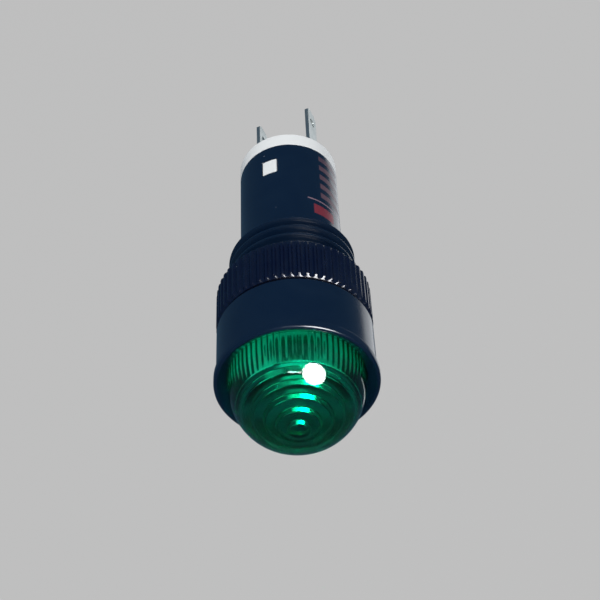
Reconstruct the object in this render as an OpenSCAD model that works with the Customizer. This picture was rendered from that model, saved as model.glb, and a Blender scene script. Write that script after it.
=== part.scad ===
// Panel pilot light: a domed green lens in a black bezel, held in a round panel hole by a ribbed nut.
// The lamp's axis is horizontal. The lens faces -Y, the terminals +Y, and a latch window is on top.
// The origin is on the axis, in the plane where the bezel's back meets the panel gasket.

/* [Bezel] */
// How far the bezel's side stands out from the thread's crests
bezel_side = 1.475; // [1.3:0.025:3]
// Wall of the bezel round the lens's foot
bezel_wall = 1.225; // [0.9:0.025:1.6]
// Height of the bezel in front of the panel
bezel_h = 8.8; // [8:0.1:11]
// How far the front lip stands out from the bezel's side
lip_proud = 0.3; // [0.1:0.02:0.4]
// Height of the front lip
lip_h = 1.5; // [1:0.1:2.2]
// Rounding of the lip's front edge
lip_round = 0.3; // [0.2:0.05:0.5]
// Depth of the funnel from the bezel's front down to the lens's foot
face_dish = 1.4; // [1:0.1:1.8]
// Chamfer round the bezel's back edge
back_chamfer = 0.25; // [0.1:0.05:0.4]

/* [Sleeve and barrel] */
// Outside diameter of the threaded sleeve, over the thread's crests
thread_d = 16; // [15.4:0.1:17]
// Depth of the thread
thread_depth = 0.92; // [0.6:0.02:1]
// Distance from one turn of the thread to the next
thread_pitch = 1.5; // [1.3:0.05:2]
// Width of the flat on a crest of the thread
crest_w = 0.2; // [0.1:0.02:0.3]
// Width of the flat at a root of the thread
root_w = 0.24; // [0.1:0.02:0.3]
// Distance from the bezel's back to the middle of the first crest
thread_start = 0.55; // [0.4:0.05:1]
// Length of the threaded sleeve behind the bezel
sleeve_len = 13.3; // [9:0.1:16]
// How far the barrel's surface lies below the thread's crests
barrel_inset = 1.5; // [1.3:0.05:1.8]
// Wall of the barrel
barrel_wall = 1; // [0.8:0.05:1.2]
// Length of the barrel behind the sleeve
barrel_len = 15.75; // [14:0.25:20]

/* [Lens] */
// Height of the dome above the bezel's front
lens_h = 7.4; // [6.6:0.1:8]
// Radius of the dome's crown
crown_r = 10; // [9:0.25:14]
// Radius of the dome's shoulder
shoulder_r = 7.4; // [6:0.1:7.8]
// Draft of the dome's skirt, in degrees
skirt_draft = 2.2; // [1:0.2:5]
// Step round the dome's foot
foot_step = 0.06; // [0.04:0.01:0.12]
// How far the lens's foot stands above the funnel's bottom
foot_rise = 0.05; // [0.02:0.01:0.15]
// How far the lens reaches down into the bezel
lens_depth = 3.2; // [2.8:0.1:3.6]
// Thickness of the lens at the middle of its crown
crown_wall = 1.45; // [1.1:0.05:1.8]
// Number of rings inside the crown
ring_count = 5; // [4:1:5]
// Distance from the outermost ring to the skirt's bore
ring_margin = 0.8; // [0.5:0.05:1.2]
// Drop from one ring to the next
ring_drop = 0.8; // [0.7:0.02:0.9]
// Wall of the lens's skirt at its foot, between the flutes
skirt_wall = 1.75; // [1.5:0.05:2]
// Number of flutes inside the skirt
flute_count = 60; // [40:4:72]
// Depth of the flutes
flute_depth = 0.25; // [0.1:0.05:0.3]
// Height of the snap bead round the lens's foot
snap_proud = 0.15; // [0.1:0.05:0.25]
// Length of the snap bead
snap_len = 0.6; // [0.4:0.1:0.8]
// Thickness of the seal under the lens
seal_t = 0.6; // [0.4:0.1:0.8]
// Width of the seal
seal_w = 1.7; // [1.4:0.05:1.9]

/* [Reflector and LED] */
// Width of the ledge that carries the seal
ledge_w = 1.25; // [1:0.05:1.5]
// Height of the reflector
reflector_h = 3.5; // [3:0.1:3.8]
// Thickness of the reflector's floor
reflector_floor = 1.1; // [0.8:0.1:1.4]
// Width of the reflector's rim
rim_w = 0.65; // [0.4:0.05:1]
// Diameter of the flat in the reflector's floor
dish_flat_d = 6.4; // [6:0.1:8]
// Diameter of the LED's body
led_d = 5; // [4.6:0.1:5.2]
// Diameter of the LED's flange
led_flange_d = 5.8; // [5.6:0.1:6.2]
// Thickness of the LED's flange
led_flange_h = 1; // [0.8:0.1:1.4]
// Height of the LED from its flange's back to its tip
led_h = 8.6; // [7:0.1:9.5]
// Thickness of the LED's square leads
lead_t = 0.5; // [0.4:0.05:0.6]
// Distance between the LED's leads
lead_gap = 2.54; // [2:0.02:3]
// Length of lead that lies on the board
lead_lap = 3; // [2:0.25:4]

/* [Circuit board] */
// Distance from the board's edge to the bore, level with the axis
board_side = 0.7; // [0.6:0.05:1]
// Thickness of the board
board_t = 1; // [0.8:0.1:1.2]
// Distance from the bezel's back to the board's front edge
board_front = 6; // [5:0.25:8]
// Length of board held in the base's slot
board_hold = 1.5; // [1:0.25:2]
// Gap between the plug's end and the board's end, which lets the board's corners clear the plug
board_clear = 0.55; // [0.3:0.05:1]
// Diameter of a resistor
resistor_d = 2.3; // [1.8:0.1:2.5]
// Length of a resistor
resistor_len = 6.3; // [5:0.1:6.5]
// Gap between a resistor and the board
resistor_lift = 0.15; // [0.1:0.05:0.3]
// Diameter of a resistor's wires
wire_d = 0.6; // [0.4:0.05:0.7]
// Straight length of wire at each end of a resistor, up to the middle of its bend
wire_reach = 1.2; // [0.9:0.1:1.4]
// Distance of each resistor from the board's middle line
resistor_x = 2; // [1.5:0.1:2.2]
// Rectifier: width across the board
rectifier_w = 3.8; // [3:0.1:4]
// Rectifier: length along the board
rectifier_len = 4.6; // [4:0.1:5]
// Rectifier: height above the board
rectifier_h = 2.4; // [1.8:0.1:2.6]
// Capacitor: width across the board
capacitor_w = 2.6; // [2:0.1:3]
// Capacitor: length along the board
capacitor_len = 3.4; // [3:0.1:4]
// Capacitor: height above the board
capacitor_h = 2.2; // [1.6:0.1:2.6]
// Surge diode: width across the board
diode_w = 2.6; // [2:0.1:3]
// Surge diode: length along the board
diode_len = 4.2; // [3.6:0.1:5]
// Surge diode: height above the board
diode_h = 2; // [1.4:0.1:2.4]
// Gap between the parts on the board
part_gap = 0.5; // [0.3:0.05:0.6]
// How far the resistors' wires stand out of the board, inside their cones of solder
stub_h = 0.5; // [0.3:0.05:0.8]
// Solder on each side of a lead or leg
solder_side = 0.5; // [0.3:0.05:0.6]
// Distance from a mound of solder to the end of its lead or leg
solder_inset = 0.4; // [0.2:0.1:0.6]
// Height of the solder beside an LED lead
lead_solder_h = 0.45; // [0.3:0.05:0.5]
// Height of the solder beside a terminal's leg
leg_solder_h = 0.75; // [0.4:0.05:0.9]

/* [Terminal base] */
// Thickness of the white flange that closes the barrel
base_flange = 2.15; // [1.6:0.05:3]
// Length of the round plug inside the barrel
plug_len = 2; // [1.5:0.1:2.4]
// Wall of the plug and of its snap arms
plug_wall = 1; // [0.8:0.05:1.1]
// Gap between a blade and the block that holds the board
block_gap = 0.95; // [0.8:0.05:1.2]
// Wall above and below the board in that block
block_wall = 1; // [0.8:0.1:1.4]
// Width of a snap arm
arm_w = 4; // [3.4:0.1:4.4]
// Width of a latch window
window_w = 2.15; // [1.8:0.05:2.8]
// Length of a latch window
window_len = 2.8; // [2.4:0.05:3.4]
// Distance from the barrel's end to a window
window_inset = 2.6; // [2.2:0.05:3]
// How far a snap arm reaches past its tab
arm_tip = 0.5; // [0.3:0.1:0.8]
// How far the tab lies below the barrel's surface
tab_sink = 0.05; // [0:0.05:0.2]

/* [Terminals] */
// Width of a terminal blade
blade_w = 2.8; // [2.4:0.1:3]
// Thickness of a terminal blade
blade_t = 0.5; // [0.4:0.05:0.8]
// Length of a blade behind the base
blade_len = 11.4; // [8:0.1:12]
// Chamfer of a blade's tip
blade_tip = 0.6; // [0.3:0.05:0.9]
// Distance from a blade's middle to the inside of the plug's wall
blade_inset = 0.72; // [0.6:0.02:0.9]
// Diameter of the wire hole in a blade
wire_hole_d = 1.3; // [1:0.1:1.6]
// Distance from the wire hole's middle to the blade's tip
hole_inset = 2.4; // [2:0.1:3]
// Height of a blade's shoulder in front of the flange
shoulder_h = 0.8; // [0.5:0.1:1.2]
// Width of the leg that stands on the board
leg_w = 1.25; // [1:0.05:1.6]
// Length of leg that stands on the board
leg_lap = 4; // [3:0.25:5]

/* [Panel nut and gasket] */
// How far the nut's ribs stand out from the thread's crests
nut_side = 1.55; // [1.2:0.05:3]
// Length of the nut
nut_len = 6.2; // [5:0.1:8]
// Number of ribs round the nut
rib_count = 60; // [40:4:72]
// Depth of the grooves between the ribs
groove_depth = 0.32; // [0.2:0.02:0.4]
// Radius of a groove's bottom
groove_r = 0.36; // [0.3:0.02:0.4]
// Chamfer on the nut's two edges
nut_chamfer = 0.35; // [0.2:0.05:0.5]
// Width of the panel gasket
gasket_w = 0.85; // [0.6:0.05:1.1]
// Thickness of the panel gasket
gasket_t = 0.4; // [0.3:0.05:1]

/* [Fits] */
// Radial gap round the lens's foot
lens_gap = 0.1; // [0.05:0.01:0.15]
// Radial gap round pieces that sit in a bore or a slot
seat_gap = 0.05; // [0.02:0.01:0.08]
// Gap on each side of a latch tab in its window
latch_gap = 0.1; // [0.05:0.01:0.15]
// Radial gap between the thread's crests and the nut
nut_gap = 0.08; // [0.04:0.01:0.1]
// Gap between the nut's front and the gasket
nut_rest = 0.05; // [0.02:0.01:0.1]
// Gap between a blade's shoulder and the plug's wall
shoulder_gap = 0.08; // [0.04:0.01:0.15]

/* [Hidden] */
$fn = 96;
// Overshoot of a cutting body past the face that it cuts
cut = 0.5;
arc_steps = 10;

// Stations along the lamp's axis: the lens side is positive, the seat at the panel is 0
face_z = bezel_h;
foot_z = face_z - lens_depth;
pocket_z = foot_z - seal_t;
ledge_z = pocket_z - reflector_h;
sleeve_z = -sleeve_len;
barrel_z = sleeve_z - barrel_len;
base_z = barrel_z - base_flange;
window_z = barrel_z + window_inset;
arm_z = window_z + window_len + arm_tip;
step_z = face_z - face_dish + foot_rise;
crown_z = face_z + lens_h;
inside_z = crown_z - crown_wall;
snap_z = (foot_z + step_z) / 2;
board_z = -board_front;
plug_z = barrel_z + plug_len;
board_end_z = plug_z + board_clear;
nut_z = -gasket_t - nut_rest;

// Radii, from the thread outwards and then inwards
thread_r = thread_d / 2;
root_r = thread_r - thread_depth;
side_r = thread_r + bezel_side;
lip_r = side_r + lip_proud;
nut_r = thread_r + nut_side;
barrel_r = thread_r - barrel_inset;
bore_r = barrel_r - barrel_wall;
pocket_r = side_r - bezel_wall;
chamber_r = pocket_r - ledge_w;
lens_r = pocket_r - lens_gap;
skirt_r = lens_r - skirt_wall;
ring_pitch = (skirt_r - ring_margin) / ring_count;
plug_r = bore_r - seat_gap;
hollow_r = plug_r - plug_wall;
board_w = 2 * (bore_r - board_side);
blade_x = hollow_r - blade_inset;
// The shoulders reach to a named gap from the round wall of the plug
shoulder_w = 2 * sqrt(pow(hollow_r - shoulder_gap, 2) - pow(blade_x + blade_t / 2, 2));

// Every turn of the thread is drawn as a ring with the thread's own profile
flank_w = (thread_pitch - crest_w - root_w) / 2;
turn_count = 1 + floor((sleeve_len - thread_start - crest_w / 2 - flank_w) / thread_pitch);
turn_profile = [
    [root_r, -thread_start - crest_w / 2 - flank_w], [thread_r, -thread_start - crest_w / 2],
    [thread_r, -thread_start + crest_w / 2], [root_r, -thread_start + crest_w / 2 + flank_w]];

// The board's upper face carries the leads, which run straight back from the LED
board_top = -lead_t / 2;
board_bottom = board_top - board_t;

function arc(cx, cz, r, a, b, first = 0) =
    [for (i = [first:arc_steps]) let (t = a + (b - a) * i / arc_steps) [cx + r * cos(t), cz + r * sin(t)]];

// Dome: a skirt with draft, a shoulder arc tangent to it, and a crown arc tangent to the shoulder
dome_foot_r = lens_r - foot_step;
dome_cz = crown_z - crown_r;
reach = crown_r - shoulder_r;
offset_h = dome_foot_r * cos(skirt_draft) + (step_z - dome_cz) * sin(skirt_draft) - shoulder_r;
along = sqrt(reach * reach - offset_h * offset_h);
shoulder_x = offset_h * cos(skirt_draft) - along * sin(skirt_draft);
shoulder_z = offset_h * sin(skirt_draft) + along * cos(skirt_draft);
meet_angle = atan2(shoulder_z, shoulder_x);

// Everything is drawn along +Z and turned so that the lens faces -Y
module on_axis() {
    rotate([90, 0, 0]) children();
}

// A tube or disc between two stations
module ring(z0, z1, r_out, r_in = 0) {
    difference() {
        translate([0, 0, z0]) cylinder(h = z1 - z0, r = r_out);
        if (r_in > 0) translate([0, 0, z0 - cut]) cylinder(h = z1 - z0 + 2 * cut, r = r_in);
    }
}

// A block given by its lowest and highest corners
module block(lo, hi) {
    translate(lo) cube(hi - lo);
}

module housing_outline() {
    lip_z = face_z - lip_h;
    polygon(concat(
        [[bore_r, barrel_z], [barrel_r, barrel_z], [barrel_r, sleeve_z],
         [root_r, sleeve_z]],
        [for (i = [turn_count - 1:-1:0], p = turn_profile) [p[0], p[1] - i * thread_pitch]],
        [[thread_r, 0], [side_r - back_chamfer, 0], [side_r, back_chamfer], [side_r, lip_z - lip_proud],
         [lip_r, lip_z]],
        arc(lip_r - lip_round, face_z - lip_round, lip_round, 0, 90),
        [[pocket_r, face_z - face_dish]],
        [[pocket_r, snap_z + snap_len], [pocket_r + snap_proud, snap_z + snap_len / 2],
         [pocket_r + snap_proud, snap_z - snap_len / 2], [pocket_r, snap_z - snap_len]],
        [[pocket_r, pocket_z], [chamber_r, pocket_z], [chamber_r, ledge_z], [bore_r, ledge_z]]));
}

module housing() {
    color("#12161c") on_axis() difference() {
        rotate_extrude() housing_outline();
        for (side = [-1, 1])
            translate([-window_w / 2, side > 0 ? 0 : -thread_r, window_z])
                cube([window_w, thread_r, window_len]);
    }
}

module lens_outline() {
    polygon(concat(
        [[0, foot_z], [lens_r, foot_z],
         [lens_r, snap_z - snap_len / 2], [lens_r + snap_proud, snap_z - snap_len / 4],
         [lens_r + snap_proud, snap_z + snap_len / 4], [lens_r, snap_z + snap_len / 2],
         [lens_r, step_z]],
        [[dome_foot_r, step_z]],
        arc(shoulder_x, dome_cz + shoulder_z, shoulder_r, skirt_draft, meet_angle),
        arc(0, dome_cz, crown_r, meet_angle, 90, 1)));
}

module lens() {
    flute_top = inside_z - ring_count * ring_drop;
    color("#00a878", 0.6) on_axis() difference() {
        rotate_extrude() lens_outline();
        for (i = [0:ring_count - 1])
            ring(foot_z - cut, inside_z - i * ring_drop, (i + 1) * ring_pitch);
        translate([0, 0, foot_z - cut]) linear_extrude(flute_top - foot_z + cut)
            polygon([for (i = [0:2 * flute_count - 1])
                let (a = 180 * i / flute_count, r = skirt_r + (i % 2) * flute_depth)
                [r * cos(a), r * sin(a)]]);
    }
}

module lens_seal() {
    color("#202020") on_axis() ring(pocket_z, foot_z, pocket_r - seat_gap,
        pocket_r - seat_gap - seal_w);
}

module reflector() {
    outer_r = chamber_r - seat_gap;
    hole_r = led_d / 2 + seat_gap;
    floor_z = ledge_z + reflector_floor;
    color("#f2f2ee") on_axis() rotate_extrude() polygon([
        [hole_r, ledge_z], [outer_r, ledge_z], [outer_r, pocket_z],
        [outer_r - rim_w, pocket_z], [dish_flat_d / 2, floor_z], [hole_r, floor_z]]);
}

module led() {
    body_r = led_d / 2;
    back_z = ledge_z - led_flange_h;
    tip_z = back_z + led_h - body_r;
    color("#cfe8d4", 0.7) on_axis() rotate_extrude() polygon(concat(
        [[0, back_z], [led_flange_d / 2, back_z], [led_flange_d / 2, ledge_z], [body_r, ledge_z]],
        arc(0, tip_z, body_r, 0, 90)));
}

// One square wire from the LED's back to its place on the board
module led_lead(side) {
    x = side * lead_gap / 2;
    back_z = ledge_z - led_flange_h;
    color("#c8c8c8") on_axis() block(
        [x - lead_t / 2, -lead_t / 2, board_z - lead_lap], [x + lead_t / 2, lead_t / 2, back_z]);
}

module led_anode_lead() {
    led_lead(-1);
}

module led_cathode_lead() {
    led_lead(1);
}

// The resistors hang under the board, one wire at each end going up through it
resistor_y = board_bottom - resistor_lift - resistor_d / 2;
resistor_mid_z = (board_z + board_end_z) / 2;
wire_z = [resistor_mid_z - resistor_len / 2 - wire_reach, resistor_mid_z + resistor_len / 2 + wire_reach];
wire_top = board_top + stub_h;

module circuit_board() {
    color("#1f6b3a") on_axis() difference() {
        block([-board_w / 2, board_bottom, board_end_z], [board_w / 2, board_top, board_z]);
        for (side = [-1, 1], z = wire_z)
            translate([side * resistor_x, board_top + cut, z]) rotate([90, 0, 0])
                cylinder(h = board_t + 2 * cut, d = wire_d + 2 * seat_gap);
    }
}

module resistor(side) {
    x = side * resistor_x;
    color("#7fb0c8") on_axis() union() {
        translate([x, resistor_y, resistor_mid_z - resistor_len / 2])
            cylinder(h = resistor_len, d = resistor_d);
        translate([x, resistor_y, wire_z[0]]) cylinder(h = wire_z[1] - wire_z[0], d = wire_d);
        for (z = wire_z) {
            translate([x, resistor_y, z]) sphere(d = wire_d);
            translate([x, wire_top, z]) rotate([90, 0, 0]) cylinder(h = wire_top - resistor_y, d = wire_d);
        }
    }
}

module resistor_a() {
    resistor(-1);
}

module resistor_b() {
    resistor(1);
}

leg_end_z = board_end_z + leg_lap;
// The parts on the board's upper face start behind the front row of resistor wires
parts_z = wire_z[1] - wire_d - part_gap;

module rectifier() {
    x = board_w / 4;
    color("#1a1a1a") on_axis() block([x - rectifier_w / 2, board_top, parts_z - rectifier_len],
        [x + rectifier_w / 2, board_top + rectifier_h, parts_z]);
}

module capacitor() {
    x = -board_w / 4;
    color("#c9a26b") on_axis() block([x - capacitor_w / 2, board_top, parts_z - capacitor_len],
        [x + capacitor_w / 2, board_top + capacitor_h, parts_z]);
}

module surge_diode() {
    z = parts_z - part_gap - max(rectifier_len, capacitor_len);
    color("#202226") on_axis() block(
        [-diode_w / 2, board_top, z - diode_len], [diode_w / 2, board_top + diode_h, z]);
}

// Outline of a terminal, drawn with the lamp's axis along x: tip, blade, shoulder and leg
module terminal_outline() {
    tip_z = base_z - blade_len;
    polygon([
        [tip_z, -blade_w / 2 + blade_tip], [tip_z + blade_tip, -blade_w / 2],
        [barrel_z, -blade_w / 2], [barrel_z, -shoulder_w / 2],
        [barrel_z + shoulder_h, -shoulder_w / 2], [barrel_z + shoulder_h, board_top],
        [leg_end_z, board_top], [leg_end_z, board_top + leg_w],
        [barrel_z + shoulder_h, board_top + leg_w], [barrel_z + shoulder_h, shoulder_w / 2],
        [barrel_z, shoulder_w / 2], [barrel_z, blade_w / 2],
        [tip_z + blade_tip, blade_w / 2], [tip_z, blade_w / 2 - blade_tip]]);
}

module terminal(side) {
    hole_z = base_z - blade_len + hole_inset;
    color("#b9bdbb") on_axis() translate([side * blade_x + blade_t / 2, 0, 0]) rotate([0, -90, 0])
        difference() {
            linear_extrude(blade_t) terminal_outline();
            translate([hole_z, 0, -cut]) cylinder(h = blade_t + 2 * cut, d = wire_hole_d);
        }
}

module terminal_left() {
    terminal(-1);
}

module terminal_right() {
    terminal(1);
}

// A low mound of solder along both sides of a lead or leg of thickness t
module solder_mound(x, t, h, z0, z1) {
    w = t + 2 * solder_side;
    difference() {
        translate([x, board_top, z0]) linear_extrude(z1 - z0)
            polygon([[-w / 2, 0], [w / 2, 0], [w / 4, h], [-w / 4, h]]);
        block([x - t / 2, board_top - cut, z0 - cut], [x + t / 2, board_top + h + cut, z1 + cut]);
    }
}

// A cone of solder round a resistor's wire
module solder_cone(x, z) {
    translate([x, board_top, z]) rotate([-90, 0, 0]) difference() {
        cylinder(h = stub_h, r1 = wire_d, r2 = 0.6 * wire_d);
        translate([0, 0, -cut]) cylinder(h = stub_h + 2 * cut, d = wire_d);
    }
}

module board_solder() {
    color("#c4c6c8") on_axis() for (side = [-1, 1]) {
        solder_mound(side * lead_gap / 2, lead_t, lead_solder_h,
            board_z - lead_lap + solder_inset, board_z - solder_inset);
        solder_mound(side * blade_x, blade_t, leg_solder_h,
            board_end_z + board_hold, leg_end_z - solder_inset);
        for (z = wire_z) solder_cone(side * resistor_x, z);
    }
}

// One arm of the base, with the tab that fills a latch window
module snap_arm() {
    tab_r = barrel_r - tab_sink;
    intersection() {
        ring(barrel_z, arm_z, plug_r, hollow_r);
        block([-arm_w / 2, 0, barrel_z], [arm_w / 2, thread_r, arm_z]);
    }
    intersection() {
        ring(window_z + latch_gap, window_z + window_len - latch_gap, tab_r, plug_r - plug_wall / 2);
        block([-window_w / 2 + latch_gap, 0, window_z],
            [window_w / 2 - latch_gap, thread_r, window_z + window_len]);
    }
}

module terminal_base() {
    slot_top = board_top + seat_gap;
    slot_bottom = board_bottom - seat_gap;
    block_x = blade_x - blade_t / 2 - block_gap;
    color("#f4f4f2") on_axis() difference() {
        union() {
            ring(base_z, barrel_z, barrel_r);
            ring(barrel_z, plug_z, plug_r, hollow_r);
            snap_arm();
            mirror([0, 1, 0]) snap_arm();
            block([-block_x, slot_bottom - block_wall, barrel_z],
                [block_x, slot_top + block_wall, board_end_z + board_hold]);
        }
        block([-blade_x, slot_bottom, board_end_z],
            [blade_x, slot_top, board_end_z + board_hold + cut]);
        for (side = [-1, 1])
            translate([side * blade_x, 0, 0]) block(
                [-blade_t / 2 - seat_gap, -blade_w / 2 - seat_gap, base_z - cut],
                [blade_t / 2 + seat_gap, blade_w / 2 + seat_gap, barrel_z + cut]);
    }
}

module panel_gasket() {
    inner_r = thread_r + seat_gap;
    color("#1c1c1e") on_axis() ring(-gasket_t, 0, inner_r + gasket_w, inner_r);
}

module locknut() {
    inner_r = thread_r + nut_gap;
    back_z = nut_z - nut_len;
    color("#141820") on_axis() difference() {
        rotate_extrude() polygon([
            [inner_r, back_z], [nut_r - nut_chamfer, back_z], [nut_r, back_z + nut_chamfer],
            [nut_r, nut_z - nut_chamfer], [nut_r - nut_chamfer, nut_z], [inner_r, nut_z]]);
        for (i = [0:rib_count - 1])
            rotate([0, 0, 360 * i / rib_count])
                translate([nut_r - groove_depth + groove_r, 0, back_z - cut])
                    cylinder(h = nut_len + 2 * cut, r = groove_r);
    }
}

housing();
lens();
lens_seal();
reflector();
led();
led_anode_lead();
led_cathode_lead();
circuit_board();
resistor_a();
resistor_b();
rectifier();
capacitor();
surge_diode();
board_solder();
terminal_base();
terminal_left();
terminal_right();
panel_gasket();
locknut();
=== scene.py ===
import math

import bmesh
import bpy
import mathutils
import numpy as np
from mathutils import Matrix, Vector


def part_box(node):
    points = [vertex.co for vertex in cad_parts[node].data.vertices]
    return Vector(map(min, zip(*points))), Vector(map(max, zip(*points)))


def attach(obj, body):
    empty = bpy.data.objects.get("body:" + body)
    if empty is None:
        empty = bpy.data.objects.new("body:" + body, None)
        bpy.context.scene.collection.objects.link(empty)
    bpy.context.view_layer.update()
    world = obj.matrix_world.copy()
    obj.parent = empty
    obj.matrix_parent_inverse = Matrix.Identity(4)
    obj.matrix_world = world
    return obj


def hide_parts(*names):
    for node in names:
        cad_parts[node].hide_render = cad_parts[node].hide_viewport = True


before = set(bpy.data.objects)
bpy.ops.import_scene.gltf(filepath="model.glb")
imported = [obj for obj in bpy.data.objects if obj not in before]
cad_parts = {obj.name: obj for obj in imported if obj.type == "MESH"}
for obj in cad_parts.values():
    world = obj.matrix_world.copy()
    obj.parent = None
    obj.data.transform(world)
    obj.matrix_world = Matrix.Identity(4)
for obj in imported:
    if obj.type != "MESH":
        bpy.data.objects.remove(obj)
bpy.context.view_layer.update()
mm = 0.001

# Lengths in the dictionaries are millimetres. Places are given in the lamp's own terms: the station counts
# along the axis towards the lens from the seat at the panel, and the angle runs from +Z towards +X.

weld = {"merge": 0.0015, "collapse": 0.0005, "sharpAngle": 38}


def nodeStations(node):
    # a CAD node's front and rear station and its greatest radius
    low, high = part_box(node)
    return -low.y / mm, -high.y / mm, max(abs(low.x), high.x, abs(low.z), high.z) / mm


def onLamp(station, radius, angle):
    # x = radius sin(angle), z = radius cos(angle), y = minus the station
    station, radius, angle = np.broadcast_arrays(station, radius, angle)
    return np.stack([radius * np.sin(angle), -station, radius * np.cos(angle)], axis=-1) * mm


def gridQuads(rows, columns, first=0, keep=None):
    # one quad between each grid point and its neighbours in the next row and column
    row, column = np.meshgrid(np.arange(rows - 1), np.arange(columns - 1), indexing="ij")
    corner = first + row * columns + column
    quads = np.stack([corner, corner + 1, corner + columns + 1, corner + columns], axis=-1)
    quads = quads.reshape(-1, 4)
    return quads if keep is None else quads[keep.ravel()]


def newObject(name, data):
    # an object at the origin that holds the data, linked to the scene
    thing = bpy.data.objects.new(name, data)
    bpy.context.scene.collection.objects.link(thing)
    return thing


def makePiece(name, grids, material, body, node, sharpAngle=weld["sharpAngle"], inner=None):
    # Joins the grids, welds their seams and poles, turns all faces outwards and hands the piece over.
    # inner, one value for each grid point, becomes the attribute "inner" that a material may read.
    points, quads, first = [], [], 0
    for grid, keep in grids:
        rows, columns = grid.shape[:2]
        points.append(grid.reshape(-1, 3))
        quads.append(gridQuads(rows, columns, first, keep))
        first += rows * columns
    mesh = bpy.data.meshes.new(name)
    mesh.from_pydata(np.concatenate(points).tolist(), [], np.concatenate(quads).tolist())
    if inner is not None:
        mesh.attributes.new("inner", "FLOAT", "POINT").data.foreach_set("value", inner.ravel())
    shell = bmesh.new()
    shell.from_mesh(mesh)
    bmesh.ops.remove_doubles(shell, verts=shell.verts, dist=weld["merge"] * mm)
    bmesh.ops.dissolve_degenerate(shell, edges=shell.edges, dist=weld["collapse"] * mm)
    bmesh.ops.recalc_face_normals(shell, faces=shell.faces)
    shell.to_mesh(mesh)
    shell.free()
    mesh.shade_smooth()
    mesh.set_sharp_from_angle(angle=math.radians(sharpAngle))
    mesh.materials.append(material)
    piece = newObject(name, mesh)
    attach(piece, body)
    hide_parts(node)
    print(f"{name}: {len(mesh.vertices)} vertices, {len(mesh.polygons)} faces")
    return piece


def roundedProfile(corners, steps=6):
    # each corner (station, radius, fillet) with a fillet becomes an arc that touches both of its sides
    out, last = [], len(corners) - 1
    for index, (station, radius, fillet) in enumerate(corners):
        here = np.array([station, radius], float)
        if not fillet or index in (0, last):
            out.append(here[None])
            continue
        before = np.array(corners[index - 1][:2]) - here
        after = np.array(corners[index + 1][:2]) - here
        before /= np.linalg.norm(before)
        after /= np.linalg.norm(after)
        half = 0.5 * math.acos(np.clip(before @ after, -1, 1))
        middle = (before + after) / np.linalg.norm(before + after)
        centre = here + middle * fillet / math.sin(half)
        start = here + before * fillet / math.tan(half) - centre
        end = here + after * fillet / math.tan(half) - centre
        begin = math.atan2(start[1], start[0])
        turn = (math.atan2(end[1], end[0]) - begin + math.pi) % (2 * math.pi) - math.pi
        along = begin + turn * np.linspace(0, 1, steps + 1)
        out.append(centre + fillet * np.stack([np.cos(along), np.sin(along)], axis=1))
    return np.concatenate(out)


def arcPoints(centre, radius, fromAngle, toAngle, count):
    # a circle's stretch as (station, radius) pairs, the angle counted from the radial direction
    along = np.linspace(fromAngle, toAngle, count)
    return np.stack([centre[0] + radius * np.sin(along), centre[1] + radius * np.cos(along)], axis=1)


def softMin(first, second, ease):
    # the smaller of two values, with the crossing rounded over about the given distance
    return 0.5 * (first + second - np.sqrt((first - second) ** 2 + ease * ease))


def addNode(tree, kind, inputs=None, **settings):
    # a node with its settings, each input linked to a socket or set to a value
    node = tree.nodes.new(kind)
    for key, value in settings.items():
        setattr(node, key, value)
    for key, value in (inputs or {}).items():
        socket = node.inputs[key]
        if isinstance(value, bpy.types.NodeSocket):
            tree.links.new(value, socket)
        else:
            socket.default_value = value
    return node


def math2(tree, operation, first, second=0.0, clamp=False):
    # one sum on one or two values, held between 0 and 1 if clamp is on
    node = addNode(tree, "ShaderNodeMath", {0: first, 1: second}, operation=operation, use_clamp=clamp)
    return node.outputs[0]


def mixColour(tree, factor, first, second):
    # the first colour where the factor is 0, the second where it is 1
    return addNode(tree, "ShaderNodeMix", {0: factor, 6: first, 7: second}, data_type="RGBA").outputs[2]


def newGroup(name, inputs, outputs):
    # a shader node group with named inputs {name: default} and named outputs, all plain values
    group = bpy.data.node_groups.new(name, "ShaderNodeTree")
    for label, default in inputs.items():
        kind = "NodeSocketVector" if default is None else "NodeSocketFloat"
        socket = group.interface.new_socket(label, in_out="INPUT", socket_type=kind)
        if default is not None:
            socket.default_value = default
    for label in outputs:
        group.interface.new_socket(label, in_out="OUTPUT", socket_type="NodeSocketFloat")
    return group, group.nodes.new("NodeGroupInput"), group.nodes.new("NodeGroupOutput")


def buildLampPlace():
    # Object coordinates as the angle round the lamp in degrees, the station and the radius
    group, given, result = newGroup("lampPlace", {"Vector": None}, ("Angle", "Station", "Radius"))
    parts = addNode(group, "ShaderNodeSeparateXYZ", {0: given.outputs["Vector"]})
    angle = math2(group, "ARCTAN2", parts.outputs[0], parts.outputs[2])
    square = math2(group, "ADD", math2(group, "POWER", parts.outputs[0], 2.0),
                   math2(group, "POWER", parts.outputs[2], 2.0))
    group.links.new(math2(group, "DEGREES", angle), result.inputs["Angle"])
    group.links.new(math2(group, "DIVIDE", parts.outputs[1], -mm), result.inputs["Station"])
    group.links.new(math2(group, "DIVIDE", math2(group, "SQRT", square), mm), result.inputs["Radius"])
    return group


def buildFieldMask():
    # 1 inside a box of two values and 0 outside it, with soft edges, for printed fields and rings
    group, given, result = newGroup(
        "fieldMask", {"Across": 0.0, "Along": 0.0, "Across Middle": 0.0, "Across Half": 1.0,
                      "Along Middle": 0.0, "Along Half": 1.0, "Across Soft": 1.0, "Along Soft": 0.1},
        ("Mask",))
    sides = []
    for label in ("Across", "Along"):
        apart = math2(group, "ABSOLUTE", math2(group, "SUBTRACT", given.outputs[label],
                                               given.outputs[label + " Middle"]))
        inside = math2(group, "SUBTRACT", given.outputs[label + " Half"], apart)
        sides.append(math2(group, "DIVIDE", inside, given.outputs[label + " Soft"], clamp=True))
    group.links.new(math2(group, "MULTIPLY", *sides), result.inputs["Mask"])
    return group


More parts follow.
